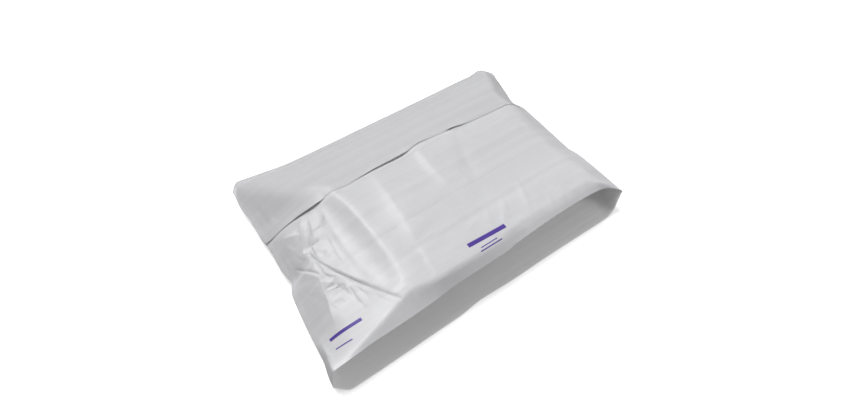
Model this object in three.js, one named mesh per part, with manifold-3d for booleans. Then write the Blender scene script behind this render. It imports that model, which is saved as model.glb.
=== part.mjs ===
// A polythene mailing bag: two panels of film welded along both sides, lying filled out and open at one end.
// The back panel runs on past the front one, turns over at the far end and comes down as the closing flap.
// Millimetres. +X runs along the mouth, +Y from the mouth to the fold of the flap, +Z up.
// The origin is on the surface that the bag lies on, at the middle of its outline.
import * as THREE from "three";
import { mergeVertices } from "three/addons/utils/BufferGeometryUtils.js";
import Module from "manifold-3d";

const { clamp, lerp, smoothstep } = THREE.MathUtils;
const wasm = await Module();
wasm.setup();

// Film and welds
const FILM = 0.07; // gauge of the film
const WELD = 3; // width of each side weld
const WELD_SQUEEZE = 0.02; // how far the weld presses one layer into the other

// Outline, as the bag lies
const WIDTH = 250; // from weld edge to weld edge
const LEFT_LENGTH = 190; // from the back panel's lip to the fold, along the left weld
const RIGHT_LENGTH = 174; // the same along the right weld: the fold was made by hand, and not square
const LIP_SETBACK = 5; // the front panel's lip lies this far behind the back panel's lip
const THROAT = 12; // the front panel stops this far short of the fold

// Heights above the surface
const HEIGHT = 34; // top of the front panel
const LIP_DROP = 8; // the front panel's lip hangs this far below the top
const WELD_HEIGHT = 9; // the side welds and the fold stand off the surface

// Distances that a panel takes to leave a weld or the fold and reach its full height
const LEFT_RUN = 58;
const RIGHT_RUN = 26;
const MOUTH_RUN = 11; // at the lips, where the mouth is pulled open square
const MOUTH_REACH = 50; // how far in from the lips the square mouth carries
const LIP_RUN = 18; // from the lip up to the top
const FOLD_FLAT = 3; // the layers lie flat together this far from the fold
const FOLD_RUN = 62;
const BASE_RUN = 16; // the back panel, from a weld down to the surface
const BASE_FOLD_RUN = 44;

// Flap and its adhesive
const FLAP = 60; // from the fold to the free edge
const FLAP_INSET = 2; // the flap's ends lie this far inside the welds
const FLAP_GAP = 0.9; // between the front panel and the flap
const STRIP_WIDTH = 14;
const STRIP_FROM_EDGE = 9; // from the flap's free edge to the adhesive
const STRIP_END = 6; // the adhesive stops at least this far short of the flap's ends
const STRIP_CLEARANCE = 0.3; // on both faces of the adhesive

// Facets
const COLUMNS = 26;
const FRONT_ROWS = 9;
const ROW_CROWDING = 1.5; // of the front panel's rows towards its lip
const BACK_ROWS = 10;
const BEND_ROWS = 6;
const FLAP_ROWS = 3; // between the throat and the adhesive
const STRIP_ROWS = 2;
const STEP = 0.01; // for measuring a surface's slope

const HALF = WIDTH / 2;
const STRIP_NEAR = FLAP - STRIP_FROM_EDGE; // distances of the adhesive's two edges from the fold
const STRIP_FAR = STRIP_NEAR - STRIP_WIDTH;
const FILM_COLOUR = 0xc6c8cb;
const ADHESIVE_COLOUR = 0xd9d6c8;

// Half the bag's length at a place across it.
function halfLength(x) {
  return lerp(LEFT_LENGTH, RIGHT_LENGTH, (x + HALF) / WIDTH) / 2;
}

// Height of the fold's turn: the back panel, the front panel, the gap and the flap lie in it.
const BEND = (3 * FILM + FLAP_GAP) / 2;

function foldY(x) {
  return halfLength(x) - BEND;
}

// 0 on a weld, 1 once a panel is a full run away from both welds.
function acrossShare(x, leftRun, rightRun) {
  const fromLeft = x + HALF - WELD;
  const fromRight = HALF - WELD - x;
  return smoothstep(fromLeft, 0, leftRun) * smoothstep(fromRight, 0, rightRun);
}

// How far the lips are pulled apart at a place across the mouth, along Y.
function lipOffset(x) {
  return (LIP_SETBACK / 2) * acrossShare(x, MOUTH_RUN, MOUTH_RUN);
}

function backLipY(x) {
  return LIP_SETBACK / 2 - halfLength(x) - lipOffset(x);
}

function frontLipY(x) {
  return LIP_SETBACK / 2 - halfLength(x) + lipOffset(x);
}

// Outer face of the front panel above the surface.
function frontHeight(x, y) {
  const squareness = 1 - smoothstep(y - frontLipY(x), 0, MOUTH_REACH);
  const leftRun = lerp(LEFT_RUN, MOUTH_RUN, squareness);
  const rightRun = lerp(RIGHT_RUN, MOUTH_RUN, squareness);
  const along = smoothstep(foldY(x) - y, FOLD_FLAT, FOLD_RUN);
  const low = WELD_HEIGHT + FILM;
  const high = HEIGHT - LIP_DROP * (1 - smoothstep(y - frontLipY(x), 0, LIP_RUN));
  return low + (high - low) * acrossShare(x, leftRun, rightRun) * along;
}

// Height of a place at a distance from the front panel's outer face, measured square to it.
function heightOver(x, y, distance) {
  const slopeX = (frontHeight(x + STEP, y) - frontHeight(x - STEP, y)) / (2 * STEP);
  const slopeY = (frontHeight(x, y + STEP) - frontHeight(x, y - STEP)) / (2 * STEP);
  return frontHeight(x, y) + distance * Math.hypot(1, slopeX, slopeY);
}

// Outer face of the back panel above the surface.
function backHeight(x, y) {
  const along = smoothstep(foldY(x) - y, FOLD_FLAT, BASE_FOLD_RUN);
  const high = WELD_HEIGHT - FILM;
  return high * (1 - acrossShare(x, BASE_RUN, BASE_RUN) * along);
}

// Outer face of the front panel: from its lip (row 0) to the flap's free edge (row 1), then on under the
// flap, a row more for each millimetre nearer the fold.
function frontFace(x, row) {
  const flapEdge = foldY(x) - FLAP;
  const y = row <= 1 ? lerp(frontLipY(x), flapEdge, row) : flapEdge + row - 1;
  return new THREE.Vector3(x, y, frontHeight(x, y));
}

// Outer face of the back panel: from its lip (row 0) to the fold (row 1), round the fold (row 2), then over
// the flap, a row more for each millimetre away from the fold.
function backFace(x, row) {
  if (row <= 1) {
    const y = lerp(backLipY(x), foldY(x), row);
    return new THREE.Vector3(x, y, backHeight(x, y));
  }
  const inset = FLAP_INSET * Math.min(row - 1, 1);
  const flapX = clamp(x, inset - HALF, HALF - inset);
  if (row <= 2) {
    const angle = (row - 1.5) * Math.PI;
    const middle = WELD_HEIGHT - FILM + BEND;
    return new THREE.Vector3(flapX, foldY(x) + BEND * Math.cos(angle), middle + BEND * Math.sin(angle));
  }
  const y = foldY(x) - (row - 2);
  return new THREE.Vector3(flapX, y, heightOver(flapX, y, FLAP_GAP + FILM));
}

// The same face moved along its normal, by a distance that may change across the bag.
function offsetFace(face, distance) {
  return (x, row) => {
    const inside = clamp(x, STEP - HALF + FLAP_INSET, HALF - FLAP_INSET - STEP);
    const across = face(inside + STEP, row).sub(face(inside - STEP, row));
    const along = face(inside, row + STEP).sub(face(inside, row - STEP));
    return face(x, row).addScaledVector(across.cross(along).normalize(), distance(x));
  };
}

// Places across the bag, closer together towards the welds, with one on each weld's inner edge.
function columns() {
  const inner = HALF - WELD;
  const places = [-HALF];
  for (let i = 0; i <= COLUMNS; i++) places.push(inner * Math.sin((i / COLUMNS - 0.5) * Math.PI));
  places.push(HALF);
  return places;
}

function spaced(from, to, count) {
  return Array.from({ length: count + 1 }, (_, i) => lerp(from, to, i / count));
}

// Distances from the fold at which the flap, the front panel under it and the adhesive all have a row.
function flapPlaces() {
  return [
    ...spaced(THROAT, STRIP_FAR, FLAP_ROWS),
    ...spaced(STRIP_FAR, STRIP_NEAR, STRIP_ROWS).slice(1),
    FLAP,
  ];
}

// A closed solid between two faces that share their columns and rows. Columns across rows points out of
// "over". Each cell is split along its shorter diagonal, so that faces lying over each other are split alike.
function solidBetween(over, under, acrossPlaces, alongPlaces) {
  const wide = acrossPlaces.length;
  const sample = (face) => alongPlaces.flatMap((row) => acrossPlaces.map((x) => face(x, row)));
  const points = [...sample(over), ...sample(under)];
  const layer = points.length / 2;
  const triangles = [];
  const quad = (a, b, c, d) => triangles.push(a, b, c, a, c, d);
  for (let j = 0; j + 1 < alongPlaces.length; j++) {
    for (let i = 0; i + 1 < wide; i++) {
      const a = j * wide + i;
      const cell = [a, a + 1, a + 1 + wide, a + wide];
      const [p, q, r, s] = cell.map((index) => points[index]);
      if (q.distanceTo(s) < p.distanceTo(r)) cell.push(cell.shift());
      quad(...cell);
      const [k, l, m, n] = cell.map((index) => index + layer);
      quad(k, n, m, l);
    }
    const left = j * wide;
    const right = left + wide - 1;
    quad(left, left + wide, layer + left + wide, layer + left);
    quad(right + wide, right, layer + right, layer + right + wide);
  }
  const last = layer - wide;
  for (let i = 0; i + 1 < wide; i++) {
    quad(i + 1, i, layer + i, layer + i + 1);
    quad(last + i, last + i + 1, layer + last + i + 1, layer + last + i);
  }
  const geometry = new THREE.BufferGeometry().setFromPoints(points);
  geometry.setIndex(triangles);
  return geometry;
}

function toSolid(geometry) {
  const merged = mergeVertices(geometry, 1e-4);
  return new wasm.Manifold(
    new wasm.Mesh({
      numProp: 3,
      vertProperties: merged.attributes.position.array,
      triVerts: new Uint32Array(merged.index.array),
    }),
  );
}

function toGeometry(solid) {
  const mesh = solid.getMesh();
  const geometry = new THREE.BufferGeometry();
  geometry.setAttribute("position", new THREE.BufferAttribute(mesh.vertProperties, 3));
  geometry.setIndex(new THREE.BufferAttribute(mesh.triVerts, 1));
  geometry.computeVertexNormals();
  return geometry;
}

// Front panel: its inner face sinks into the back panel's along the welds, so the layers become one there.
function frontPanel() {
  const inner = offsetFace(frontFace, (x) => (Math.abs(x) < HALF - WELD ? -FILM : -FILM - WELD_SQUEEZE));
  const open = spaced(0, 1, FRONT_ROWS).map((row) => row ** ROW_CROWDING);
  const underFlap = flapPlaces().map((fromFold) => 1 + FLAP - fromFold);
  return solidBetween(frontFace, inner, columns(), [...open, ...underFlap.reverse().slice(1)]);
}

// Back panel, fold and flap: one length of film, whose outer face is under the bag and on top of the flap.
function backPanelAndFlap() {
  const inner = offsetFace(backFace, () => FILM);
  const flap = flapPlaces().map((fromFold) => 2 + fromFold);
  const along = [...spaced(0, 1, BACK_ROWS), ...spaced(1, 2, BEND_ROWS).slice(1), ...flap];
  return solidBetween(inner, backFace, columns(), along);
}

// Adhesive: a strip between the flap and the front panel, along the flap's free edge.
function adhesiveStrip() {
  const reach = HALF - FLAP_INSET - STRIP_END;
  const face = (distance) => (x, fromFold) => {
    const y = foldY(x) - fromFold;
    return new THREE.Vector3(x, y, heightOver(x, y, distance));
  };
  const across = columns().filter((x) => Math.abs(x) <= reach);
  const along = spaced(STRIP_NEAR, STRIP_FAR, STRIP_ROWS);
  return solidBetween(face(FLAP_GAP - STRIP_CLEARANCE), face(STRIP_CLEARANCE), across, along);
}

function addPart(group, name, geometry, look) {
  const mesh = new THREE.Mesh(geometry, new THREE.MeshStandardMaterial(look));
  mesh.name = name;
  group.add(mesh);
}

const bag = new THREE.Group();
const film = toSolid(frontPanel()).add(toSolid(backPanelAndFlap()));
addPart(bag, "film_bag", toGeometry(film), { color: FILM_COLOUR, roughness: 0.38, metalness: 0 });
addPart(bag, "adhesive_strip", adhesiveStrip(), { color: ADHESIVE_COLOUR, roughness: 0.5, metalness: 0 });

export default bag;
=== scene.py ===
"""Looks of a grey polythene mailing bag that lies filled out, its mouth open and its flap stuck down."""

from __future__ import annotations

import logging
import math
from collections.abc import Callable
from dataclasses import dataclass
from enum import Enum

import bpy
import numpy as np
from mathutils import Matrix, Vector, geometry


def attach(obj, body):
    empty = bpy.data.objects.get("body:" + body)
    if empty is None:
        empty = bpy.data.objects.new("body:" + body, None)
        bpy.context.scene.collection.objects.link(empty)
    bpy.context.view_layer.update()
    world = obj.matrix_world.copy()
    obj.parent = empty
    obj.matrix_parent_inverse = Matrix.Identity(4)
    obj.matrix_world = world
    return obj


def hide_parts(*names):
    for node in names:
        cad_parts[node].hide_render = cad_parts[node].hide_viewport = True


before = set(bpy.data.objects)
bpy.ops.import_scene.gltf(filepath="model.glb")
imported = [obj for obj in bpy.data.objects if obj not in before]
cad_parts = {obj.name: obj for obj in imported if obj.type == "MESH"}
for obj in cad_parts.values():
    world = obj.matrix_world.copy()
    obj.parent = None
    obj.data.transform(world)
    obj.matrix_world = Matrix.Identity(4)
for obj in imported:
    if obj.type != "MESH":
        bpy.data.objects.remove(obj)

LOG = logging.getLogger("mailing_bag")
MM = 0.001
JOIN = 0.00002
SMOOTH = math.radians(45)
CREASE_END = 0.02
CRISP_SLOPE = 0.15
CREASE_MARGIN = 1.0
FINE_DETAIL = 3.0
CLOUD_DETAIL = 4.0
Array = np.ndarray


def smooth_min(a: Array, b: Array, round_mm: Array | float) -> Array:
    """Join two heights by the lower one, with a rounded ridge.

    Args:
        a: First heights.
        b: Second heights.
        round_mm: Height difference over which the ridge is rounded.

    Returns:
        The joined heights.
    """
    near = np.maximum(round_mm - np.abs(a - b), 0) / round_mm
    return np.minimum(a, b) - near * near * round_mm / 4


def smooth_step(value: Array, low: float, high: float) -> Array:
    """Rise smoothly from 0 at low to 1 at high.

    Args:
        value: Places to read.
        low: Where the rise starts.
        high: Where it ends.

    Returns:
        Shares from 0 to 1.
    """
    t = np.clip((value - low) / (high - low), 0, 1)
    return t * t * (3 - 2 * t)


def climb(t: Array, steep: Array | float, shoulder: Array | float, rounding: float) -> Array:
    """Climb steeply from 0 to a shoulder, and gently from there to 1.

    Args:
        t: Share of the way.
        steep: Steepness at the start.
        shoulder: Height from which the gentle part runs.
        rounding: Height difference over which the shoulder is rounded.

    Returns:
        Shares of the height.
    """
    return smooth_min(steep * t, shoulder + (1 - shoulder) * t, rounding)


def mix(a: Array, b: Array, share: Array) -> Array:
    """Go from one value to another.

    Args:
        a: Value at share 0.
        b: Value at share 1.
        share: How far to go.

    Returns:
        The mixed value.
    """
    return a + (b - a) * share


@dataclass(frozen=True)
class Profile:
    """A smooth line through a few measured places, with no overshoot.

    Attributes:
        points: Pairs of place and value, in mm, in rising order of place.
    """

    points: tuple[tuple[float, float], ...]

    def at(self, place: Array | float) -> Array:
        """Read the line.

        Args:
            place: Where to read it.

        Returns:
            The line's value there, held level past its ends.
        """
        knots = np.array([p[0] for p in self.points])
        values = np.array([p[1] for p in self.points])
        slopes = np.diff(values) / np.diff(knots)
        tangents = np.concatenate([slopes[:1], np.zeros(len(knots) - 2), slopes[-1:]])
        both = slopes[:-1] * slopes[1:]
        total = slopes[:-1] + slopes[1:]
        tangents[1:-1] = np.where(both > 0, 2 * both / np.where(total == 0, 1, total), 0)
        spot = np.asarray(place, dtype=float)
        i = np.clip(np.searchsorted(knots, spot) - 1, 0, len(knots) - 2)
        span = knots[i + 1] - knots[i]
        t = np.clip((spot - knots[i]) / span, 0, 1)
        start = (1 + 2 * t) * (1 - t) ** 2 * values[i] + t * (1 - t) ** 2 * span * tangents[i]
        return start + t * t * (3 - 2 * t) * values[i + 1] + t * t * (t - 1) * span * tangents[i + 1]


class Panel(Enum):
    """A panel of the film, by how far its coordinates are set apart along it, in metres."""

    FRONT = 0.0
    BACK = -1.0
    FLAP = 1.0


class Fold(Enum):
    """How the film gives way along a crease."""

    VALLEY = "valley"
    RIDGE = "ridge"


@dataclass(frozen=True)
class Crease:
    """A crease in the film, seen in the photograph.

    Attributes:
        path: Places along it, in mm, in plan.
        height: How far it stands up or sinks, in mm.
        width: Distance over which it dies away on either side, in mm.
        fold: Whether it sinks or stands up.
        sharp: 1 for a crisp line, 0 for a soft swelling.
        step: How much higher the film lies on its left side, in mm.
        ramp: Distance over which that step builds up, in mm.
        reach: Distance over which it dies away, in mm.
        start: How softly it builds up: 1 starts with a kink, 2 has none.
    """

    path: tuple[tuple[float, float], ...]
    height: float
    width: float
    fold: Fold = Fold.RIDGE
    sharp: float = 1.0
    step: float = 0.0
    ramp: float = 1.2
    reach: float = 6.0
    start: float = 2.0

    def lift(self, x: Array, y: Array) -> Array:
        """Measure what the crease adds to the film's height.

        Args:
            x: Places across the bag, in mm.
            y: Places along the bag, in mm.

        Returns:
            Heights to add, in mm.
        """
        away, side, along = self.measure(x, y)
        fade = np.sqrt(np.clip(np.sin(np.pi * np.clip(along, CREASE_END, 1 - CREASE_END)), 0, 1))
        crisp = np.exp(-away / self.width)
        soft = np.exp(-((away / self.width) ** 2))
        sign = -1 if self.fold is Fold.VALLEY else 1
        lifted = sign * self.height * mix(soft, crisp, self.sharp)
        raised = self.step * (1 - np.exp(-((away / self.ramp) ** self.start))) * np.exp(-away / self.reach)
        return (lifted + raised * (side > 0)) * fade

    def crisp(self) -> bool:
        """Say whether the crease needs small cells."""
        return self.sharp * self.height / self.width > CRISP_SLOPE

    def near(self, x: Array, y: Array) -> Array:
        """Say which places lie along the crease."""
        return self.measure(x, y)[0] < CREASE_MARGIN + self.width

    def measure(self, x: Array, y: Array) -> tuple[Array, Array, Array]:
        """Find the nearest place on the crease.

        Args:
            x: Places across the bag, in mm.
            y: Places along the bag, in mm.

        Returns:
            Distance in mm, the side (above 0 on the left), and the share of the way along.
        """
        away = np.full(x.shape, 1e9)
        side = np.zeros(x.shape)
        along = np.zeros(x.shape)
        knots = np.array(self.path)
        steps = np.hypot(*np.diff(knots, axis=0).T)
        done = np.concatenate([[0], np.cumsum(steps)]) / steps.sum()
        for i, step in enumerate(steps):
            dx, dy = (knots[i + 1] - knots[i]) / step
            px, py = x - knots[i, 0], y - knots[i, 1]
            run = np.clip(px * dx + py * dy, 0, step)
            gap = np.hypot(px - run * dx, py - run * dy)
            nearer = gap < away
            away = np.where(nearer, gap, away)
            side = np.where(nearer, dx * py - dy * px, side)
            along = np.where(nearer, mix(done[i], done[i + 1], run / step), along)
        return away, side, along


@dataclass(frozen=True)
class Swell:
    """Slow rise and fall of slack film.

    Attributes:
        height: Usual height, in mm.
        length: Usual length of a wave, in mm.
        stretch: How much longer the waves are across the bag than along it.
        seed: Seed of the waves.
        waves: How many waves are added up.
        sizes: Least and greatest length of a wave, as shares of the usual one.
    """

    height: float
    length: float
    stretch: float
    seed: int
    waves: int = 9
    sizes: tuple[float, float] = (0.6, 1.7)

    def lift(self, x: Array, y: Array) -> Array:
        """Measure the swell.

        Args:
            x: Places across the bag, in mm.
            y: Places along the bag, in mm.

        Returns:
            Heights to add, in mm.
        """
        dice = np.random.default_rng(self.seed)
        turns = dice.uniform(0, math.tau, self.waves)
        sizes = dice.uniform(*self.sizes, self.waves)
        starts = dice.uniform(0, math.tau, self.waves)
        total = np.zeros(x.shape)
        for turn, size, start in zip(turns, sizes, starts):
            run = x * math.cos(turn) / self.stretch + y * math.sin(turn)
            total = total + np.sin(math.tau * run / (self.length * size) + start)
        return self.height * total / math.sqrt(self.waves)


@dataclass(frozen=True)
class Crumple:
    """Film pushed together into small flat facets.

    Attributes:
        low: Near left corner of the place, in mm.
        high: Far right corner of the place, in mm.
        facets: Corners of the facets.
        height: How far the corners stand up or sink, in mm.
        seed: Seed of the corners.
        fade: Share of the reach at which the facets start to die away.
    """

    low: tuple[float, float]
    high: tuple[float, float]
    facets: int
    height: float
    seed: int
    fade: float = 0.55

    def lift(self, x: Array, y: Array) -> Array:
        """Measure the facets.

        Args:
            x: Places across the bag, in mm.
            y: Places along the bag, in mm.

        Returns:
            Heights to add, in mm.
        """
        dice = np.random.default_rng(self.seed)
        spots = dice.uniform(self.low, self.high, (self.facets, 2))
        heights = dice.uniform(-self.height, self.height, self.facets)
        triangles = geometry.delaunay_2d_cdt([Vector(p) for p in spots], [], [], 0, 1e-4)[2]
        total = np.zeros(x.shape)
        for a, b, c in triangles:
            (ax, ay), (bx, by), (cx, cy) = spots[a], spots[b], spots[c]
            area = (bx - ax) * (cy - ay) - (by - ay) * (cx - ax)
            share_b = ((x - ax) * (cy - ay) - (y - ay) * (cx - ax)) / area
            share_c = ((bx - ax) * (y - ay) - (by - ay) * (x - ax)) / area
            inside = (share_b >= 0) & (share_c >= 0) & (share_b + share_c <= 1)
            here = heights[a] + (heights[b] - heights[a]) * share_b + (heights[c] - heights[a]) * share_c
            total = np.where(inside, here, total)
        return total * (1 - smooth_step(self._away(x, y), self.fade, 1.0))

    def near(self, x: Array, y: Array) -> Array:
        """Say which places lie among the facets."""
        return self._away(x, y) < 1.0

    def _away(self, x: Array, y: Array) -> Array:
        """Measure how far places lie from the middle, 1 being the edge.

        Args:
            x: Places across the bag, in mm.
            y: Places along the bag, in mm.

        Returns:
            Distances as shares of the reach.
        """
        middle = np.add(self.low, self.high) / 2
        reach = np.subtract(self.high, self.low) / 2
        return np.hypot((x - middle[0]) / reach[0], (y - middle[1]) / reach[1])


@dataclass
class BagShape:
    """The bag's film as it lies, in mm: X along the mouth, Y from the mouth to the fold, Z up.

    Attributes:
        top: Height of the front panel.
        throat: How far the front panel stops short of the fold.
        flap_gap: Gap between the front panel and the flap.
        bend: Radius of the fold.
        pleat: Depth of the pleats by the mouth's right corner.
        pleat_run: Distance from one pleat to the next.
        lip_span: Ends of the lips across.
        fold_span: Ends of the fold across.
        flap_span: Ends of the flap's free edge across.
        flap_inset: How far the flap stops short of each weld.
        left_steep: Steepness by the left weld, before the flap and under it.
        left_shoulder: Share of the height at which the left slope eases off, before the flap and under it.
        under_flap: Where the left slope changes from the one to the other, along.
        corner_steep: Steepness by the left weld in the mouth's corner.
        corner_shoulder: Share of the height at which the slope eases off there.
        left_round: Rounding of those shoulders.
        mouth_reach: How far from the lip the mouth holds the left slope up.
        far_steep: Steepness by the fold, and further up.
        far_ease: Height from which the gentler part runs.
        far_round: Rounding between the two.
        crown: How far the front panel bulges.
        crown_run: How far the bulge reaches across and along.
        crown_y: Place of the bulge along.
        left_ridge: Rounding of the ridge on the left.
        right_ridge: Rounding of the ridge on the right.
        lip_ridge: Rounding of the ridge behind the lip, on the left and on the right.
        lip_ridge_span: Where it changes from the one to the other, across.
        far_ridge: Rounding of the ridge by the fold.
        wall_share: Share of its depth that the back panel's right wall falls before its foot.
        wall_foot: Width of that wall's foot.
        foot_round: Rounding between wall and foot.
        wall_round: Rounding between the walls and the floor.
        fold_reach: Distances from the fold between which the back panel comes down.
        pleat_top: Distances from the right weld over which the pleats set in.
        pleat_foot: Distance from the wall's foot over which they die away.
        pleat_reach: Where they set in along, towards the mouth.
        held: Share of the width over which the welds hold the film still.
        lip_held: Share of the length over which the lip holds it.
        lip_give: How much it still gives way at the lip.
        turn_in: Share of the flap over which it draws in from the welds.
        settle: Share of the flap over which it comes to lie on the front panel.
        loose: Share of the flap at which its free edge starts to stand off.
        left_x: Place of the left weld across, from the mouth to the fold.
        left_z: Height of the left weld.
        right_x: Place of the right weld across.
        right_z: Height of the right weld.
        top_left_x: Place where the left slope reaches the top.
        top_right_x: Place where the right slope reaches the top.
        top_lip_y: Place of the front panel's lip along, from left to right.
        top_lip_z: Height of the front panel's lip.
        bottom_lip_y: Place of the back panel's lip along.
        band: Depth of the slope behind the front panel's lip.
        fold_y: Place of the fold along.
        fold_z: Height of the fold.
        left_wall: Width of the back panel's left wall.
        right_wall: Width of the back panel's right wall.
        flap_edge: Place of the flap's free edge along.
        flap_lift: How far that edge stands off.
        slack: Creases and swellings.
    """

    top: float = 34.0
    throat: float = 12.0
    flap_gap: float = 0.55
    bend: float = 1.1
    pleat: float = 0.35
    pleat_run: float = 4.2
    lip_span: tuple[float, float] = (-129.8, 128.8)
    fold_span: tuple[float, float] = (-120.0, 126.0)
    flap_span: tuple[float, float] = (-119.0, 119.0)
    flap_inset: float = 0.4
    left_steep: tuple[float, float] = (2.1, 1.15)
    left_shoulder: tuple[float, float] = (0.36, 0.06)
    under_flap: tuple[float, float] = (20.0, 45.0)
    corner_steep: float = 12.0
    corner_shoulder: float = 0.6
    left_round: float = 0.14
    mouth_reach: float = 34.0
    far_steep: tuple[float, float] = (0.75, 0.42)
    far_ease: float = 3.0
    far_round: float = 4.0
    crown: float = 0.5
    crown_run: tuple[float, float] = (60.0, 45.0)
    crown_y: float = -20.0
    left_ridge: float = 2.0
    right_ridge: float = 6.0
    lip_ridge: tuple[float, float] = (0.8, 2.2)
    lip_ridge_span: tuple[float, float] = (-50.0, 20.0)
    far_ridge: float = 8.0
    wall_share: float = 0.85
    wall_foot: float = 6.5
    foot_round: float = 0.04
    wall_round: float = 0.06
    fold_reach: tuple[float, float] = (1.0, 40.0)
    pleat_top: tuple[float, float] = (0.5, 2.5)
    pleat_foot: float = 3.0
    pleat_reach: tuple[float, float] = (55.0, 80.0)
    held: float = 0.02
    lip_held: float = 0.06
    lip_give: float = 0.3
    turn_in: float = 0.15
    settle: float = 0.12
    loose: float = 0.86
    left_x: Profile = Profile(
        (
            (-89, -129.8), (-84, -129.4), (-78, -128.4), (-70, -126.7), (-50, -125.6),
            (-28, -123.6), (-17, -122.3), (-12, -120.5), (-7, -117.9), (-2, -118.7), (6, -119.8),
            (26, -119.2), (38, -120.4), (58, -120.3), (72, -121.4), (86, -120.5),
        )
    )
    left_z: Profile = Profile(((-91, 5), (-69, 6), (-44, 7), (-5, 7), (31, 8), (90, 8)))
    right_x: Profile = Profile(
        (
            (-85.4, 128.8), (-78, 128), (-60, 126.9), (-42, 125.2), (-36, 124.1), (-32, 122.4),
            (-28, 121.9), (0, 121.3), (20, 120.7), (26, 121.2), (38, 121), (52, 123.7), (68, 126.8),
            (76, 127.5), (84, 125.5),
        )
    )
    right_z: Profile = Profile(
        ((-86, 17), (-30, 17), (0, 16.5), (18, 16.3), (23, 15.5), (33, 10.5), (42, 9), (90, 8.5))
    )
    top_lip_y: Profile = Profile(
        (
            (-129.8, -88.9), (-128, -86.7), (-126.2, -85.9), (-113, -85.5), (-93, -84.3),
            (-63, -83.7), (-42, -82.6), (-23, -81.3), (14, -81.3), (27, -80), (39, -79.6),
            (60, -78.8), (76, -78.4), (101, -78.9), (110, -79.1), (118, -80), (126, -82.5),
            (128.8, -85.4),
        )
    )
    top_lip_z: Profile = Profile(
        (
            (-129.8, 5), (-128, 14), (-126.2, 21), (-124.3, 24), (-120.5, 25), (-83, 25.5),
            (-42, 26), (14, 28), (50, 30.5), (85, 30.5), (101, 30), (110, 27.5), (118, 23.5),
            (126, 19), (128.8, 17),
        )
    )
    bottom_lip_y: Profile = Profile(
        (
            (-129.8, -88.9), (-119, -94.9), (-50, -93.6), (-30, -93.2), (-10, -91.2), (15, -91.7),
            (60, -91), (109, -91.1), (116, -90.6), (128.8, -85.4),
        )
    )
    fold_y: Profile = Profile(
        (
            (-121, 87), (-117, 93.2), (-113, 96.4), (-100, 94.6), (-70, 90.4), (-55, 89.8),
            (0, 88.8), (60, 87.7), (98, 87.3), (110, 85.6), (117, 85.7), (121, 84.4), (124, 81),
            (127, 75),
        )
    )
    fold_z: Profile = Profile(((-120, 8), (56, 8), (98, 8), (108, 9.5), (117, 11.5), (126, 9.5)))
    band: Profile = Profile(((-125, 14), (-60, 13), (-30, 7.6), (33, 7), (70, 6), (101, 6.5)))
    top_left_x: Profile = Profile(
        ((-92, -60), (-66, -58), (-55, -54), (-39, -54), (-18, -56), (5, -58), (26, -61), (60, -74))
    )
    top_right_x: Profile = Profile(
        ((-84, 107), (-71, 106), (-41, 102), (-4, 99), (23, 102), (45, 98), (80, 106))
    )
    left_wall: Profile = Profile(((-95, 10.8), (-85, 8), (-70, 5), (90, 7)))
    right_wall: Profile = Profile(((-91, 10), (-85, 9), (-71, 4.5), (0, 6), (90, 8)))
    flap_edge: Profile = Profile(
        (
            (-119, 30.9), (-110, 30.2), (-92, 29.6), (-76, 28.6), (-70, 28.8), (-66, 30.1),
            (-60, 29.6), (-50, 28.2), (-37, 29), (-6, 29.2), (4, 29.7), (10, 31.2), (16, 31.6),
            (23, 31), (36, 29.8), (47, 29.4), (54, 27.3), (67, 25.8), (82, 25), (102, 24),
            (119, 23.2),
        )
    )
    flap_lift: Profile = Profile(
        (
            (-119, 0.5), (-110, 0), (-97, 0.3), (-90, 1.2), (-80, 1.7), (-74, 1.5), (-69, -0.2),
            (-48, -0.2), (-38, 0.1), (-28, 0.7), (-12, 1.2), (2, 1.4), (8, 0), (20, 0.2),
            (32, -0.3), (41, -0.3), (46, 1.2), (53, 0.9), (60, 0), (76, -0.2), (100, 0), (112, 0.3),
            (119, 0.6),
        )
    )
    slack: tuple[Crease | Swell | Crumple, ...] = ()

    def front_plan(self, u: Array, w: Array) -> tuple[Array, Array]:
        """Place the front panel in plan.

        Args:
            u: Share of the way from the left weld to the right one.
            w: Share of the way from the lip to the throat.

        Returns:
            Places across and along, in mm.
        """
        return self._plan(u, w, self.top_lip_y)

    def _plan(self, u: Array, w: Array, lip: Profile) -> tuple[Array, Array]:
        """Place a panel in plan, from its lip to the throat.

        Args:
            u: Share of the way from the left weld to the right one.
            w: Share of the way from the lip to the throat.
            lip: The panel's lip.

        Returns:
            Places across and along, in mm.
        """
        far = self.fold_y.at(mix(*self.fold_span, u)) - self.throat
        y = mix(lip.at(mix(*self.lip_span, u)), far, w)
        return mix(self.left_x.at(y), self.right_x.at(y), u), y

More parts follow.
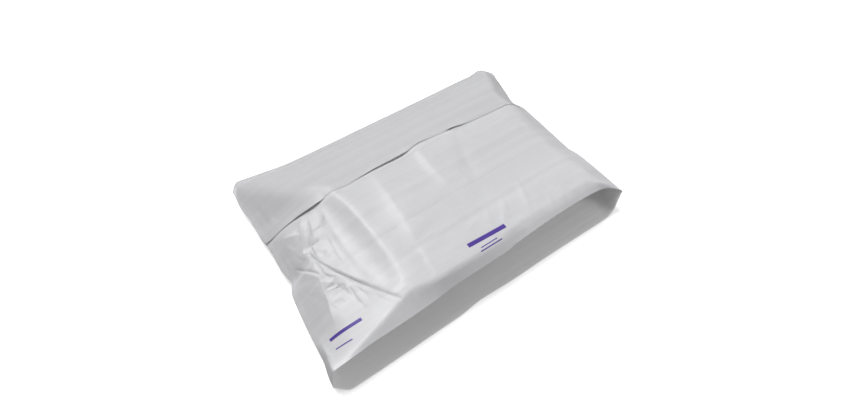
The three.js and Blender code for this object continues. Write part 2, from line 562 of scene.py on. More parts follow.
    def front_height(self, x: Array, y: Array) -> Array:
        """Height of the front panel's outer face, without its creases.

        Args:
            x: Places across, in mm.
            y: Places along, in mm.

        Returns:
            Heights in mm.
        """
        from_lip = y - self.top_lip_y.at(x)
        low = self.left_z.at(y)
        t = (x - self.left_x.at(y)) / (self.top_left_x.at(y) - self.left_x.at(y))
        square = climb(t, self.corner_steep, self.corner_shoulder, self.left_round)
        under = smooth_step(y, *self.under_flap)
        steep, shoulder = mix(*self.left_steep, under), mix(*self.left_shoulder, under)
        slope = climb(t, steep, shoulder, self.left_round)
        left = low + (self.top - low) * mix(square, slope, smooth_step(from_lip, 0, self.mouth_reach))
        low = self.right_z.at(y)
        t = (self.right_x.at(y) - x) / (self.right_x.at(y) - self.top_right_x.at(y))
        right = low + (self.top - low) * t
        lip = self.top_lip_z.at(x)
        band = lip + from_lip * (self.top - lip) / self.band.at(x)
        from_fold = self.fold_y.at(x) - y
        steep, gentle = self.far_steep
        rise = smooth_min(steep * from_fold, self.far_ease + gentle * from_fold, self.far_round)
        far = self.fold_z.at(x) + self.bend + rise
        bulge = np.cos(x / self.crown_run[0]) * np.cos((y - self.crown_y) / self.crown_run[1])
        height = smooth_min(self.top + self.crown * bulge, left, self.left_ridge)
        height = smooth_min(height, right, self.right_ridge)
        height = smooth_min(height, band, mix(*self.lip_ridge, smooth_step(x, *self.lip_ridge_span)))
        return smooth_min(height, far, self.far_ridge)

    def front(self, u: Array, w: Array) -> Array:
        """Shape the front panel.

        Args:
            u: Share of the way from the left weld to the right one.
            w: Share of the way from the lip to the throat.

        Returns:
            Points in mm.
        """
        x, y = self.front_plan(u, w)
        z = self.front_height(x, y) + self.wrinkles(x, y) * self._inside(u, w)
        z = np.where(u <= 0, self.left_z.at(y), np.where(u >= 1, self.right_z.at(y), z))
        return np.stack([x, y, z], axis=-1)

    def _inside(self, u: Array, w: Array) -> Array:
        """Hold the film still along the welds and the lip.

        Args:
            u: Share of the way from weld to weld.
            w: Share of the way from the lip.

        Returns:
            0 on a held edge, 1 in the open film.
        """
        by_weld = smooth_step(u, 0, self.held) * smooth_step(1 - u, 0, self.held)
        return by_weld * mix(self.lip_give, 1, smooth_step(w, 0, self.lip_held))

    def wrinkles(self, x: Array, y: Array) -> Array:
        """Add up all that the film does besides its plain form.

        Args:
            x: Places across, in mm.
            y: Places along, in mm.

        Returns:
            Heights to add, in mm.
        """
        total = np.zeros(x.shape)
        for give in self.slack:
            total = total + give.lift(x, y)
        return total

    def back(self, u: Array, w: Array) -> Array:
        """Shape the back panel, from its lip to the throat and past it to the fold.

        Args:
            u: Share of the way from the left weld to the right one.
            w: Share of the way from the lip to the throat.

        Returns:
            Points in mm.
        """
        x, y = self._plan(u, w, self.bottom_lip_y)
        z = self.back_height(x, y)
        z = np.where(u <= 0, self.left_z.at(y), np.where(u >= 1, self.right_z.at(y), z))
        return np.stack([x, y, z], axis=-1)

    def back_height(self, x: Array, y: Array) -> Array:
        """Height of the back panel's outer face.

        Args:
            x: Places across, in mm.
            y: Places along, in mm.

        Returns:
            Heights in mm.
        """
        level = np.ones(x.shape)
        left = smooth_min((x - self.left_x.at(y)) / self.left_wall.at(y), level, self.wall_round)
        run = self.right_wall.at(y)
        out = self.right_x.at(y) - x
        wall = self.wall_share * out / run
        foot = self.wall_share + (1 - self.wall_share) * (out - run) / self.wall_foot
        right = smooth_min(smooth_min(wall, foot, self.foot_round), level, self.wall_round)
        far = smooth_step(self.fold_y.at(x) - y, *self.fold_reach)
        edge = np.where(x < 0, self.left_z.at(y), self.right_z.at(y))
        edge = np.where(far < 1, mix(self.fold_z.at(x) - self.bend, edge, far), edge)
        pleated = smooth_step(out, *self.pleat_top) * smooth_step(run - out, 0, self.pleat_foot)
        pleated = pleated * smooth_step(-y, *self.pleat_reach)
        pleats = self.pleat * pleated * np.sin(math.tau * out / self.pleat_run)
        return edge * (1 - left * right * far) + pleats

    def flap(self, u: Array, s: Array) -> Array:
        """Shape the film from the throat on: the back panel's end, the fold and the flap.

        Args:
            u: Share of the way from the left weld to the right one.
            s: 0 at the throat, 1 at the fold, 2 past the turn, 3 at the flap's free edge.

        Returns:
            Points in mm.
        """
        x_far = mix(*self.fold_span, u)
        fold = self.fold_y.at(x_far) - self.bend
        start = self.fold_y.at(x_far) - self.throat
        y_tail = mix(start, fold, np.clip(s, 0, 1))
        x_tail = mix(self.left_x.at(y_tail), self.right_x.at(y_tail), u)
        z_tail = self.back_height(x_tail, y_tail)
        z_tail = np.where(u <= 0, self.left_z.at(y_tail), np.where(u >= 1, self.right_z.at(y_tail), z_tail))
        tail = np.stack([x_tail, y_tail, z_tail], axis=-1)

        z_low = self.fold_z.at(x_tail) - self.bend
        turn = (np.clip(s, 1, 2) - 1.5) * math.pi
        bend = np.stack(
            [x_tail, fold + self.bend * np.cos(turn), z_low + self.bend * (1 + np.sin(turn))], axis=-1
        )

        share = np.clip(s - 2, 0, 1)
        y_flap = mix(fold, self.flap_edge.at(mix(*self.flap_span, u)), share)
        x_flap = mix(self.left_x.at(y_flap) + self.flap_inset, self.right_x.at(y_flap) - self.flap_inset, u)
        x_flap = mix(x_tail, x_flap, smooth_step(share, 0, self.turn_in))
        held = self._inside(u, np.ones(u.shape))
        over = self.front_height(x_flap, y_flap) + self.wrinkles(x_flap, y_flap) * held
        over = np.maximum(over, mix(self.left_z.at(y_flap), self.right_z.at(y_flap), u))
        lifted = self.flap_gap + self.flap_lift.at(x_flap) * smooth_step(share, self.loose, 1.0)
        z_flap = mix(self.fold_z.at(x_tail) + self.bend, over + lifted, smooth_step(share, 0, self.settle))
        flap = np.stack([x_flap, y_flap, z_flap], axis=-1)
        which = s[..., None]
        return np.where(which <= 1, tail, np.where(which <= 2, bend, flap))


def flat_shares(mesh: bpy.types.Mesh) -> tuple[Array, Array]:
    """Read how far across and along each point of a flat grid of size 1 lies.

    Args:
        mesh: The flat grid.

    Returns:
        Shares across and along.
    """
    flat = np.empty(len(mesh.vertices) * 3)
    mesh.vertices.foreach_get("co", flat)
    flat = np.round(flat.reshape(-1, 3) + 0.5, 6)
    return flat[:, 0], flat[:, 1]


@dataclass
class FilmBag:
    """The bag's film as one mesh.

    Attributes:
        shape: The film's form.
        columns: Cells of the front panel from weld to weld.
        plain_columns: Cells of the back panel and the flap from weld to weld.
        rows: Cells from a lip to the throat.
        flap_rows: Cells from the throat round the fold to the flap's edge.
        tail_rows: How many of those lie before the turn.
        turn_rows: How many of those lie in the turn.
        film: Thickness of the film, in mm.
        crowding: How much closer the front panel's cells lie on its left.
        edging: How much closer the other cells lie along both welds.
        hidden: How far under the flap the front panel's cells are still cut smaller, in mm.
    """

    shape: BagShape
    columns: int = 136
    plain_columns: int = 112
    rows: int = 94
    flap_rows: int = 46
    tail_rows: int = 6
    turn_rows: int = 6
    film: float = 0.12
    crowding: float = 0.45
    edging: float = 0.55
    hidden: float = 3.0

    def build(self) -> bpy.types.Object:
        """Make the film.

        Returns:
            The film's object.
        """
        front = self._sheet(Panel.FRONT, (self.columns, self.rows), self._front)
        back = self._sheet(Panel.BACK, (self.plain_columns, self.rows), self._back)
        flap = self._sheet(Panel.FLAP, (self.plain_columns, self.flap_rows), self._flap)
        bpy.ops.object.select_all(action="DESELECT")
        for piece in (front, back, flap):
            piece.select_set(True)
        bpy.context.view_layer.objects.active = front
        bpy.ops.object.join()
        front.name = front.data.name = "mailing_bag_film"
        bpy.ops.object.mode_set(mode="EDIT")
        bpy.ops.mesh.select_all(action="SELECT")
        bpy.ops.mesh.remove_doubles(threshold=JOIN)
        bpy.ops.object.mode_set(mode="OBJECT")
        return front

    def thicken(self, bag: bpy.types.Object) -> None:
        """Give the film its thickness, inwards.

        Args:
            bag: The film's object.
        """
        bpy.ops.object.select_all(action="DESELECT")
        bag.select_set(True)
        bpy.context.view_layer.objects.active = bag
        solid = bag.modifiers.new("film", "SOLIDIFY")
        solid.thickness = self.film * MM
        solid.offset = -1
        solid.material_offset = 1
        solid.use_even_offset = False
        bpy.ops.object.modifier_apply(modifier=solid.name)
        bpy.ops.object.shade_smooth_by_angle(angle=SMOOTH)
        LOG.info("%s: %d faces", bag.name, len(bag.data.polygons))

    def _front(self, u: Array, w: Array) -> Array:
        """Lay the front panel, with cells kept for its crumpled left."""
        return self.shape.front(mix(u, u * u, self.crowding), w)

    def _back(self, u: Array, w: Array) -> Array:
        """Lay the back panel, which faces down."""
        return self.shape.back(self._edged(1 - u), w)

    def _edged(self, u: Array) -> Array:
        """Crowd even shares towards both welds."""
        return u - self.edging * np.sin(math.tau * u) / math.tau

    def _flap(self, u: Array, w: Array) -> Array:
        """Lay the film past the throat, with cells kept for the tail and the turn.

        Args:
            u: Share of the way from the right weld to the left one.
            w: Share of the way from the throat to the flap's free edge.

        Returns:
            Points in mm.
        """
        tail, turn = self.tail_rows / self.flap_rows, (self.tail_rows + self.turn_rows) / self.flap_rows
        s = np.where(w <= tail, w / tail, np.where(w <= turn, 1 + (w - tail) / (turn - tail), 0))
        s = np.where(w > turn, 2 + (w - turn) / (1 - turn), s)
        return self.shape.flap(self._edged(1 - u), s)

    def _sheet(
        self, panel: Panel, cells: tuple[int, int], place: Callable[[Array, Array], Array]
    ) -> bpy.types.Object:
        """Make one grid and lay it along a surface.

        Args:
            panel: Which panel it is.
            cells: Cells across and along.
            place: Surface that takes shares across and along, and gives points in mm.

        Returns:
            The sheet's object.
        """
        bpy.ops.object.select_all(action="DESELECT")
        bpy.ops.mesh.primitive_grid_add(x_subdivisions=cells[0], y_subdivisions=cells[1], size=1)
        sheet = bpy.context.active_object
        sheet.name = panel.name.lower()
        if panel is Panel.FRONT:
            self._refine(sheet, place)
        mesh = sheet.data
        points = place(*flat_shares(mesh))
        mesh.vertices.foreach_set("co", (points * MM).ravel())
        layer = mesh.uv_layers[0]
        layer.name = "film"
        corners = np.empty(len(mesh.loops), dtype=int)
        mesh.loops.foreach_get("vertex_index", corners)
        lying = points[corners, :2] * MM + np.array([0, panel.value])
        layer.data.foreach_set("uv", lying.ravel())
        mesh.update()
        return sheet

    def _refine(self, sheet: bpy.types.Object, place: Callable[[Array, Array], Array]) -> None:
        """Cut the cells along crisp creases smaller.

        Args:
            sheet: The flat grid.
            place: Surface that the grid will be laid on.
        """
        crumples = [give for give in self.shape.slack if isinstance(give, Crumple)]
        creases = [give for give in self.shape.slack if isinstance(give, Crease) and give.crisp()]
        for gives in (crumples, creases):
            mesh = sheet.data
            points = place(*flat_shares(mesh))
            near = np.zeros(len(points), dtype=bool)
            for give in gives:
                near |= give.near(points[:, 0], points[:, 1])
            near &= points[:, 1] < self.shape.flap_edge.at(points[:, 0]) + self.hidden
            bpy.ops.object.mode_set(mode="EDIT")
            bpy.ops.mesh.select_mode(type="FACE")
            bpy.ops.mesh.select_all(action="DESELECT")
            bpy.ops.object.mode_set(mode="OBJECT")
            for face in mesh.polygons:
                face.select = bool(near[list(face.vertices)].any())
            bpy.ops.object.mode_set(mode="EDIT")
            bpy.ops.mesh.subdivide(number_cuts=1)
            bpy.ops.object.mode_set(mode="OBJECT")


@dataclass
class AdhesiveStrip:
    """The band of adhesive that holds the flap down.

    Attributes:
        shape: The film that it lies on.
        reach: How far it runs to either side of the bag's middle, in mm.
        from_edge: Distance between it and the flap's free edge, in mm.
        width: Its width, in mm.
        over: How far its upper face lies over the front panel, in mm.
        thickness: Its thickness, in mm.
        cells: Cells across the bag and along it.
    """

    shape: BagShape
    reach: float = 112.0
    from_edge: float = 9.0
    width: float = 14.0
    over: float = 0.33
    thickness: float = 0.2
    cells: tuple[int, int] = (180, 10)

    def build(self) -> bpy.types.Object:
        """Make the strip.

        Returns:
            The strip's object.
        """
        bpy.ops.object.select_all(action="DESELECT")
        bpy.ops.mesh.primitive_grid_add(x_subdivisions=self.cells[0], y_subdivisions=self.cells[1], size=1)
        strip = bpy.context.active_object
        strip.name = strip.data.name = "adhesive_band"
        points = self._place(*flat_shares(strip.data))
        strip.data.vertices.foreach_set("co", (points * MM).ravel())
        strip.data.update()
        solid = strip.modifiers.new("adhesive", "SOLIDIFY")
        solid.thickness = self.thickness * MM
        solid.offset = -1
        bpy.ops.object.modifier_apply(modifier=solid.name)
        bpy.ops.object.shade_smooth_by_angle(angle=SMOOTH)
        LOG.info("%s: %d faces", strip.name, len(strip.data.polygons))
        return strip

    def _place(self, u: Array, w: Array) -> Array:
        """Lay the strip on the front panel.

        Args:
            u: Share of the way across the bag.
            w: Share of the strip's width, from its near edge.

        Returns:
            Points of its upper face, in mm.
        """
        x = mix(-self.reach, self.reach, u)
        y = self.shape.flap_edge.at(x) + self.from_edge + self.width * w
        z = self.shape.front_height(x, y) + self.shape.wrinkles(x, y) + self.over
        return np.stack([x, y, z], axis=-1)


@dataclass(frozen=True)
class Bar:
    """A plain printed bar.

    Attributes:
        middle: Its middle on the film, in mm.
        size: Its length and height, in mm.
        lean: How far it climbs along the bag for each mm across it.
    """

    middle: tuple[float, float]
    size: tuple[float, float]
    lean: float = 0.0


class Nodes:
    """Small helper that wires shader nodes."""

    def __init__(self, name: str) -> None:
        """Start a material.

        Args:
            name: The material's name.
        """
        self.material = bpy.data.materials.new(name)
        self.material.use_nodes = True
        self.tree = self.material.node_tree
        self.shader = next(n for n in self.tree.nodes if n.type == "BSDF_PRINCIPLED")

    def add(self, kind: str, **settings: object) -> bpy.types.Node:
        """Add a node.

        Args:
            kind: The node's type name.
            settings: Attributes to set on it.

        Returns:
            The node.
        """
        node = self.tree.nodes.new(kind)
        for key, value in settings.items():
            setattr(node, key, value)
        return node

    def link(self, out: bpy.types.NodeSocket, into: bpy.types.NodeSocket) -> None:
        """Join two sockets.

        Args:
            out: Socket that gives.
            into: Socket that takes.
        """
        self.tree.links.new(out, into)

    def math(self, operation: str, a: object, b: object = 0.0) -> bpy.types.NodeSocket:
        """Add a sum.

        Args:
            operation: What to do.
            a: First socket or number.
            b: Second socket or number.

        Returns:
            The result's socket.
        """
        node = self.add("ShaderNodeMath", operation=operation)
        for socket, value in zip(node.inputs, (a, b)):
            if isinstance(value, bpy.types.NodeSocket):
                self.link(value, socket)
            else:
                socket.default_value = value
        return node.outputs[0]

    def mix_colour(self, share: bpy.types.NodeSocket, low: object, high: object) -> bpy.types.NodeSocket:
        """Mix two colours.

        Args:
            share: Socket that gives the share of the second one.
            low: First colour or socket.
            high: Second colour or socket.

        Returns:
            The mixed colour's socket.
        """
        node = self.add("ShaderNodeMix", data_type="RGBA")
        self.link(share, node.inputs[0])
        for socket, value in zip((node.inputs[6], node.inputs[7]), (low, high)):
            if isinstance(value, bpy.types.NodeSocket):
                self.link(value, socket)
            else:
                socket.default_value = (*value, 1.0)
        return node.outputs[2]

    def noise(
        self, vector: bpy.types.NodeSocket, stretch: tuple[float, float, float], detail: float
    ) -> bpy.types.NodeSocket:
        """Add a stretched noise.

        Args:
            vector: Coordinates.
            stretch: Repeats per metre along each axis.
            detail: Octaves.

        Returns:
            The noise's value socket.
        """
        mapping = self.add("ShaderNodeMapping")
        mapping.inputs["Scale"].default_value = stretch
        self.link(vector, mapping.inputs["Vector"])
        texture = self.add("ShaderNodeTexNoise")
        texture.inputs["Scale"].default_value = 1.0
        texture.inputs["Detail"].default_value = detail
        self.link(mapping.outputs[0], texture.inputs["Vector"])
        return texture.outputs[0]

    def spread(self, value: bpy.types.NodeSocket, low: float, high: float) -> bpy.types.NodeSocket:
        """Stretch a value.

        Args:
            value: The value's socket.
            low: Value that becomes 0.
            high: Value that becomes 1.

        Returns:
            The stretched value's socket.
        """
        node = self.add("ShaderNodeMapRange")
        self.link(value, node.inputs["Value"])
        node.inputs["From Min"].default_value = low
        node.inputs["From Max"].default_value = high
        return node.outputs[0]


@dataclass(frozen=True)
class FilmFinish:
    """Half-gloss film with faint lines along its length.

    Attributes:
        name: The material's name.
        colour: The film's colour.
        streak: A slightly darker one, for the lines left by the extruder.
        roughness: How dull the film is.
        ink: Colour of the print.
        bars: Printed bars.
        lines: Repeats of the lines per metre.
        cloud: Repeats of the cloudy patches per metre.
        grain: Repeats of the fine grain per metre.
        flap_painted_shade: Painted shade: a dark colour mixed into the flap to darken it, though it is the
            same film.
        flap_painted_shade_share: How much of that painted shade is mixed in.
        contrast: Values of the noise that become the palest and the darkest line.
        lined: How much of the streaks' colour comes from the lines, the rest being patches.
        mottle: How much the dullness changes from patch to patch.
        heights: How much lines, grain and patches add to the relief.
        relief: Strength of the relief.
        relief_depth: Its depth, in metres.
        glow: How much light goes through the front panel and the flap.
        glow_depth: How far it goes, in metres.
    """

    name: str
    colour: tuple[float, float, float]
    streak: tuple[float, float, float]
    roughness: float
    ink: tuple[float, float, float] = (0.0, 0.0, 0.0)
    bars: tuple[Bar, ...] = ()
    lines: tuple[float, float, float] = (1.6, 150.0, 1.0)
    cloud: tuple[float, float, float] = (28.0, 34.0, 1.0)
    grain: tuple[float, float, float] = (240.0, 300.0, 1.0)
    flap_painted_shade: tuple[float, float, float] = (0.1, 0.1, 0.1)
    flap_painted_shade_share: float = 0.12
    contrast: tuple[float, float] = (0.34, 0.66)
    lined: float = 0.65
    mottle: float = 0.14
    heights: tuple[float, float, float] = (0.6, 0.25, 1.2)
    relief: float = 0.35
    relief_depth: float = 0.0006
    glow: float = 0.9
    glow_depth: float = 0.0005

    def make(self) -> bpy.types.Material:
        """Make the material.

        Returns:
            The material.
        """
        nodes = Nodes(self.name)
        film = nodes.add("ShaderNodeUVMap", uv_map="film").outputs[0]
        lines = nodes.spread(nodes.noise(film, self.lines, FINE_DETAIL), *self.contrast)
        cloud = nodes.noise(film, self.cloud, CLOUD_DETAIL)
        lined = nodes.math("MULTIPLY", lines, self.lined)
        patched = nodes.math("MULTIPLY", cloud, 1 - self.lined)
        colour = nodes.mix_colour(nodes.math("ADD", lined, patched), self.colour, self.streak)
        places = nodes.add("ShaderNodeSeparateXYZ")
        nodes.link(film, places.inputs[0])
        # Painted shade: the flap's colour is darkened, though it is the same film as the panels.
        flap = nodes.math("GREATER_THAN", places.outputs[1], Panel.FLAP.value / 2)
        colour = nodes.mix_colour(nodes.math("MULTIPLY", flap, self.flap_painted_shade_share), colour, self.flap_painted_shade)
        inked = self._inked(nodes, film)
        if inked is not None:
            colour = nodes.mix_colour(inked, colour, self.ink)
        nodes.link(colour, nodes.shader.inputs["Base Color"])
        mottle = nodes.math("MULTIPLY", cloud, self.mottle)
        dull = nodes.math("ADD", mottle, self.roughness - self.mottle / 2)
        nodes.link(dull, nodes.shader.inputs["Roughness"])
        grain = nodes.noise(film, self.grain, FINE_DETAIL)
        parts = [nodes.math("MULTIPLY", *part) for part in zip((lines, grain, cloud), self.heights)]
        relief = nodes.math("ADD", nodes.math("ADD", parts[0], parts[1]), parts[2])
        bump = nodes.add("ShaderNodeBump")
        bump.inputs["Strength"].default_value = self.relief
        bump.inputs["Distance"].default_value = self.relief_depth
        nodes.link(relief, bump.inputs["Height"])
        nodes.link(bump.outputs[0], nodes.shader.inputs["Normal"])
        lit = nodes.math("GREATER_THAN", places.outputs[1], Panel.BACK.value / 2)
        nodes.link(nodes.math("MULTIPLY", lit, self.glow), nodes.shader.inputs["Subsurface Weight"])
        nodes.shader.inputs["Subsurface Radius"].default_value = (1, 1, 1)
        nodes.shader.inputs["Subsurface Scale"].default_value = self.glow_depth
        return nodes.material

    def _inked(self, nodes: Nodes, film: bpy.types.NodeSocket) -> bpy.types.NodeSocket | None:
        """Say where the print is.

        Args:
            nodes: The material's nodes.
            film: Coordinates on the film, in metres.

        Returns:
            A socket that is 1 on the print, or None where there is none.
        """
        parts = nodes.add("ShaderNodeSeparateXYZ")
        nodes.link(film, parts.inputs[0])
        total = None
        for bar in self.bars:
            across = nodes.math("SUBTRACT", parts.outputs[0], bar.middle[0] * MM)
            along = nodes.math("SUBTRACT", parts.outputs[1], bar.middle[1] * MM)
            along = nodes.math("SUBTRACT", along, nodes.math("MULTIPLY", across, bar.lean))
            inside = None
            for away, size in zip((across, along), bar.size):
                within = nodes.math("LESS_THAN", nodes.math("ABSOLUTE", away), size / 2 * MM)
                inside = within if inside is None else nodes.math("MULTIPLY", inside, within)
            total = inside if total is None else nodes.math("MAXIMUM", total, inside)
        return total


@dataclass(frozen=True)
class AdhesiveFinish:
    """Cloudy hot-melt adhesive.

    Attributes:
        name: The material's name.
        colour: Its colour.
        cloud: Its colour where it is thicker.
        roughness: How dull it is.
        drift: Repeats of the thicker patches per metre.
        mottle: How much the dullness changes from patch to patch.
        relief: Strength of the relief.
        relief_depth: Its depth, in metres.
    """

    name: str
    colour: tuple[float, float, float]
    cloud: tuple[float, float, float]
    roughness: float
    drift: tuple[float, float, float] = (60.0, 240.0, 60.0)
    mottle: float = 0.3
    relief: float = 0.3
    relief_depth: float = 0.0002

    def make(self) -> bpy.types.Material:
        """Make the material.

        Returns:
            The material.
        """
        nodes = Nodes(self.name)
        place = nodes.add("ShaderNodeTexCoord").outputs["Object"]
        drift = nodes.noise(place, self.drift, CLOUD_DETAIL)
        nodes.link(nodes.mix_colour(drift, self.colour, self.cloud), nodes.shader.inputs["Base Color"])
        mottle = nodes.math("MULTIPLY", drift, self.mottle)
        dull = nodes.math("ADD", mottle, self.roughness - self.mottle / 2)
        nodes.link(dull, nodes.shader.inputs["Roughness"])
        bump = nodes.add("ShaderNodeBump")
        bump.inputs["Strength"].default_value = self.relief
        bump.inputs["Distance"].default_value = self.relief_depth
        nodes.link(drift, bump.inputs["Height"])
        nodes.link(bump.outputs[0], nodes.shader.inputs["Normal"])
        return nodes.material


@dataclass(frozen=True)
class Lamp:
    """A soft lamp that faces the bag.

    Attributes:
        name: Its name.
        place: Where it hangs, in metres.
        size: Its width, in metres.
        power: Its power, in watts.
        glossy: Whether the film mirrors it.
    """

    name: str
    place: tuple[float, float, float]
    size: float
    power: float
    glossy: bool = True

    def hang(self) -> None:
        """Hang the lamp."""
        data = bpy.data.lights.new(self.name, "AREA")
        data.shape = "DISK"
        data.size = self.size
        data.energy = self.power
        lamp = bpy.data.objects.new(self.name, data)
        bpy.context.scene.collection.objects.link(lamp)
        lamp.location = self.place
        lamp.rotation_euler = (-Vector(self.place)).to_track_quat("-Z", "Y").to_euler()
        lamp.visible_glossy = self.glossy


@dataclass
class Studio:
    """Floor, lights and camera, from the photograph's view.

    Attributes:
        eye: The camera's place, in mm.
        aim: The place on the floor in the middle of the picture, in mm.
        focal_px: Focal length, in pixels of the photograph.
        width_px: The photograph's width.
        sky: Strength of the even light from all round.
        lamps: The lamps.
        floor_size: The floor's width, in metres.
        floor_drop: How far the floor lies under the bag, in metres.
        floor_white: How pale the floor is.
        floor_glow: How strongly the floor glows.
        floor_rough: How dull the floor is.
        sensor: Width of the camera's sensor, in mm.
        nearest: Distance from which the camera sees, in metres.
    """

    eye: tuple[float, float, float] = (-143.3, -218.1, 398.1)
    aim: tuple[float, float, float] = (2.74, -2.19, 0.0)
    focal_px: float = 600.0
    width_px: float = 854.0
    sky: float = 0.36
    lamps: tuple[Lamp, ...] = (
        Lamp("far_softbox", (-0.4, 1.29, 2.44), 1.4, 35),
        Lamp("top_softbox", (0.2, 1.3, 2.35), 0.9, 48, glossy=False),
        Lamp("mouth_softbox", (1.0, -1.0, 0.9), 0.6, 6.2, glossy=False),
    )
    floor_size: float = 6.0
    floor_drop: float = 0.0004
    floor_white: float = 0.93
    floor_glow: float = 0.35
    floor_rough: float = 0.9
    sensor: float = 36.0
    nearest: float = 0.01

    def build(self) -> None:
        """Set up everything around the bag."""
        self._floor()
        self._camera()
        self._lights()

    def _floor(self) -> None:
        """Lay a pale floor."""
        bpy.ops.object.select_all(action="DESELECT")
        bpy.ops.mesh.primitive_plane_add(size=self.floor_size, location=(0, 0, -self.floor_drop))
        floor = bpy.context.active_object
        floor.name = "floor"
        nodes = Nodes("floor_white")
        nodes.shader.inputs["Base Color"].default_value = (*[self.floor_white] * 3, 1)
        nodes.shader.inputs["Emission Color"].default_value = (1, 1, 1, 1)
        nodes.shader.inputs["Emission Strength"].default_value = self.floor_glow
        nodes.shader.inputs["Roughness"].default_value = self.floor_rough
        floor.data.materials.append(nodes.material)
        floor.visible_diffuse = floor.visible_glossy = False

    def _camera(self) -> None:
        """Put the camera where the photograph was taken from."""
        data = bpy.data.cameras.new("camera")
        data.sensor_width = self.sensor
        data.lens = self.focal_px / self.width_px * data.sensor_width
        data.clip_start = self.nearest
        camera = bpy.data.objects.new("camera", data)
        bpy.context.scene.collection.objects.link(camera)
        eye, aim = Vector(self.eye) * MM, Vector(self.aim) * MM
        camera.location = eye
        camera.rotation_euler = (aim - eye).to_track_quat("-Z", "Y").to_euler()
        bpy.context.scene.camera = camera

    def _lights(self) -> None:
        """Light the bag softly from behind, with a weak lamp before its mouth."""
        world = bpy.data.worlds.new("studio")
        world.use_nodes = True
        sky = next(n for n in world.node_tree.nodes if n.type == "BACKGROUND")
        sky.inputs["Color"].default_value = (1, 1, 1, 1)
        sky.inputs["Strength"].default_value = self.sky
        bpy.context.scene.world = world
        bpy.context.scene.view_settings.view_transform = "Standard"
        for lamp in self.lamps:
            lamp.hang()


LOOSE_FILM = (
    Swell(0.25, 52, 1.6, 3),
    Swell(0.1, 17, 2.5, 8),
    Crumple((-118, -58), (-74, 34), 30, 0.8, 5),
    Crumple((-118, -54), (-76, 32), 110, 0.4, 11),
    Crumple((16, -82), (114, -44), 70, 0.45, 17),
    Crumple((-126, 30), (-52, 92), 30, 0.3, 23),
)

MOUTH_CORNER_CREASES = (
    Crease(
        (
            (-97, -4.8), (-94.3, -14.5), (-90, -25.2), (-84.1, -36.2), (-78.3, -47.1),
            (-72.6, -57.6), (-68, -66.2), (-64.7, -71),
        ),
        height=1.1, width=0.8, fold=Fold.VALLEY, step=0.7,
    ),
    Crease(((-80.8, -51.3), (-76.1, -60.1), (-71.4, -68.6)), 0.35, 1.0, Fold.VALLEY),
    Crease(((-125.3, -64.5), (-121.7, -75.3), (-123, -81.9)), 0.8, 2.0, sharp=0.8),
    Crease(((-126.6, -73.8), (-121.7, -75.3)), 0.5, 1.4, Fold.VALLEY),
)

FAN_FOLDS = (
    Crease(
        (
            (-56.4, -64.3), (-53.1, -42.6), (-53.3, -26.4), (-54, -7.1), (-55.9, 11), (-59.4, 28.3),
            (-60.5, 45),
        ),
        height=0.2, width=3.5, sharp=0.3, step=-4.0, ramp=10.0, reach=40.0, start=1.6,
    ),
    Crease(
        ((-74.2, 28), (-74.7, 4.6), (-75, -14), (-73.8, -32.8), (-69.6, -52.7), (-64.1, -66.4)),
        height=0.5, width=3.0, sharp=0.4,
    ),
)

SOFT_FOLDS = (
    Crease(
        ((-33, -42), (-29.3, -18.2), (-28.7, -0.4), (-27.5, 21.3), (-26.5, 48)),
        height=0.0, width=1.0, step=-6.0, ramp=24.0, reach=24.0, start=1.0,
    ),
    Crease(
        ((13.6, -16), (13.1, -6.7), (12.2, 8), (12.6, 22.4), (13.6, 48)),
        height=0.0, width=1.0, step=-7.5, ramp=20.0, reach=16.0, start=1.0,
    ),
    Crease(
        ((31.1, -41), (33.8, -23.3), (37.2, -5.9), (43.2, 10.6), (46.7, 25.5), (48, 40)),
        height=1.0, width=4.6, fold=Fold.VALLEY, sharp=0.2, step=0.8, ramp=4.0, reach=12.0,
    ),
)

CRUMPLED_CREASES = (
    Crease(((-90.7, 26.1), (-95.2, 15.1), (-100.1, 5), (-103.3, -3.6)), 1.4, 2.5, sharp=0.9),
    Crease(((-86.4, 22.1), (-88.9, 11.9), (-94.2, 4.5), (-95.2, -6.5)), 0.9, 1.2, Fold.VALLEY),
    Crease(
        ((-109.6, -6.5), (-101.3, -23), (-102.9, -33), (-106.2, -46.1), (-109.7, -59.9)), 1.3, 3.0, sharp=0.8
    ),
    Crease(((-110.7, -2.7), (-105.3, -11), (-99, -20.8)), 1.2, 0.9, Fold.VALLEY, step=0.4),
    Crease(((-97.7, 0.4), (-96.1, -8.1), (-96.6, -16.6), (-97.4, -20.6)), 0.9, 0.9, Fold.VALLEY),
    Crease(((-91.6, -27.9), (-94.7, -32.2), (-100.2, -32), (-102.9, -34.2)), 1.1, 0.9, Fold.VALLEY),
    Crease(((-97.4, -20.6), (-94.8, -26.3), (-91.6, -27.9)), 0.9, 0.9, Fold.VALLEY),
    Crease(((-102.9, -34.2), (-96.5, -36.4), (-90.6, -36.8)), 0.8, 1.2, Fold.VALLEY),
    Crease(((-98.9, 3.9), (-94.7, 3.7), (-87.4, 3.2)), 0.7, 1.2, Fold.VALLEY),
    Crease(((-88.9, 11.9), (-80.3, 11.7), (-74.8, 19.2)), 0.6, 1.2, Fold.VALLEY),
    Crease(((-96.3, 16.2), (-103.5, 19.3), (-107.5, 22.2)), 0.8, 2.0, sharp=0.7),
    Crease(((-87.4, -41.9), (-88, -53.2), (-86.4, -60.7)), 0.6, 1.5, Fold.VALLEY),
    Crease(((-83.8, -42.7), (-80.5, -57.5)), 0.6, 1.5, Fold.VALLEY),
)

PUCKERS_ACROSS = (28, 37, 46, 56, 66, 77, 88, 98)

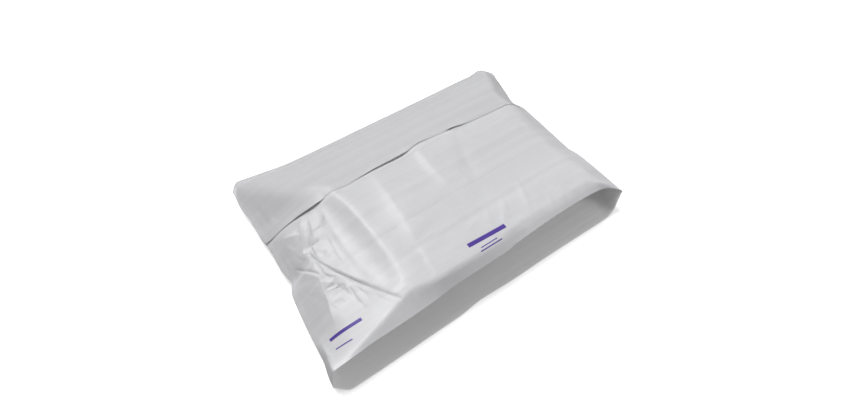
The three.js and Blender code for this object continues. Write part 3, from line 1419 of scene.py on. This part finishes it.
LIP_PUCKERS = (
    Crease(((26.5, -43), (19.5, -60)), 0.55, 2.8, sharp=0.2),
    Crease(((38.5, -44), (33.4, -64)), 0.9, 2.6, sharp=0.3),
    Crease(((57.4, -42.5), (50.8, -64)), 1.0, 2.6, sharp=0.3),
    Crease(((34, -52), (27, -67)), 0.6, 2.4, sharp=0.3),
    *(Crease(((x + 2, -64), (x - 1.5, -77)), 0.55, 2.2, sharp=0.5) for x in PUCKERS_ACROSS),
    Crease(((107, -72.5), (111.3, -77), (124.8, -77)), 1.3, 2.0, sharp=0.8),
)

FLAP_CREASES = (
    Crease(((-111.5, 62.7), (-111.1, 50.5), (-110, 37.8)), 0.5, 1.5, Fold.VALLEY, sharp=0.6),
    Crease(((-62.8, 65.5), (-66.2, 53.2), (-68.3, 45.8)), 0.5, 2.0, sharp=0.6),
    Crease(((-63.2, 48.4), (-65.7, 37.2)), 0.4, 1.5, Fold.VALLEY, sharp=0.6),
    Crease(((-105, 46.4), (-100.9, 37.3)), 0.4, 1.5, Fold.VALLEY, sharp=0.6),
    Crease(((88.8, 50.4), (100, 40.8)), 0.6, 5.0, Fold.VALLEY, sharp=0.1),
)

SLACK = (
    *LOOSE_FILM,
    *MOUTH_CORNER_CREASES,
    *FAN_FOLDS,
    *SOFT_FOLDS,
    *CRUMPLED_CREASES,
    *LIP_PUCKERS,
    *FLAP_CREASES,
)

BARS = (
    Bar((-104.8, -65.3), (24, 2.6), -0.083),
    Bar((-110.7, -73.9), (12.2, 1.0), -0.12),
    Bar((10.5, -65.5), (31.4, 3.4), -0.048),
    Bar((8.5, -71), (14, 0.8)),
    Bar((9, -73.3), (18.4, 0.8)),
)

OUTSIDE = FilmFinish(
    "film_outside", (0.525, 0.525, 0.538), (0.465, 0.465, 0.478), 0.34, ink=(0.06, 0.027, 0.24), bars=BARS
)
# Painted light: the inside face is the same film as the outside, given a much paler colour so that it looks
# brighter within the bag.
INSIDE_PAINTED_LIGHT = FilmFinish("film_inside_painted_light", (0.88, 0.88, 0.88), (0.83, 0.83, 0.83), 0.42)
GLUE = AdhesiveFinish("adhesive_cream", (0.72, 0.7, 0.62), (0.62, 0.6, 0.52), 0.5)


def main() -> None:
    """Build the bag and its studio."""
    logging.basicConfig(level=logging.INFO)
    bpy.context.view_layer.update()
    shape = BagShape(slack=SLACK)
    film = FilmBag(shape)
    bag = film.build()
    bag.data.materials.clear()
    bag.data.materials.append(OUTSIDE.make())
    bag.data.materials.append(INSIDE_PAINTED_LIGHT.make())
    film.thicken(bag)
    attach(bag, "root")
    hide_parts("film_bag")
    strip = AdhesiveStrip(shape).build()
    strip.data.materials.append(GLUE.make())
    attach(strip, "root")
    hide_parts("adhesive_strip")
    Studio().build()


if __name__ == "__main__":
    main()
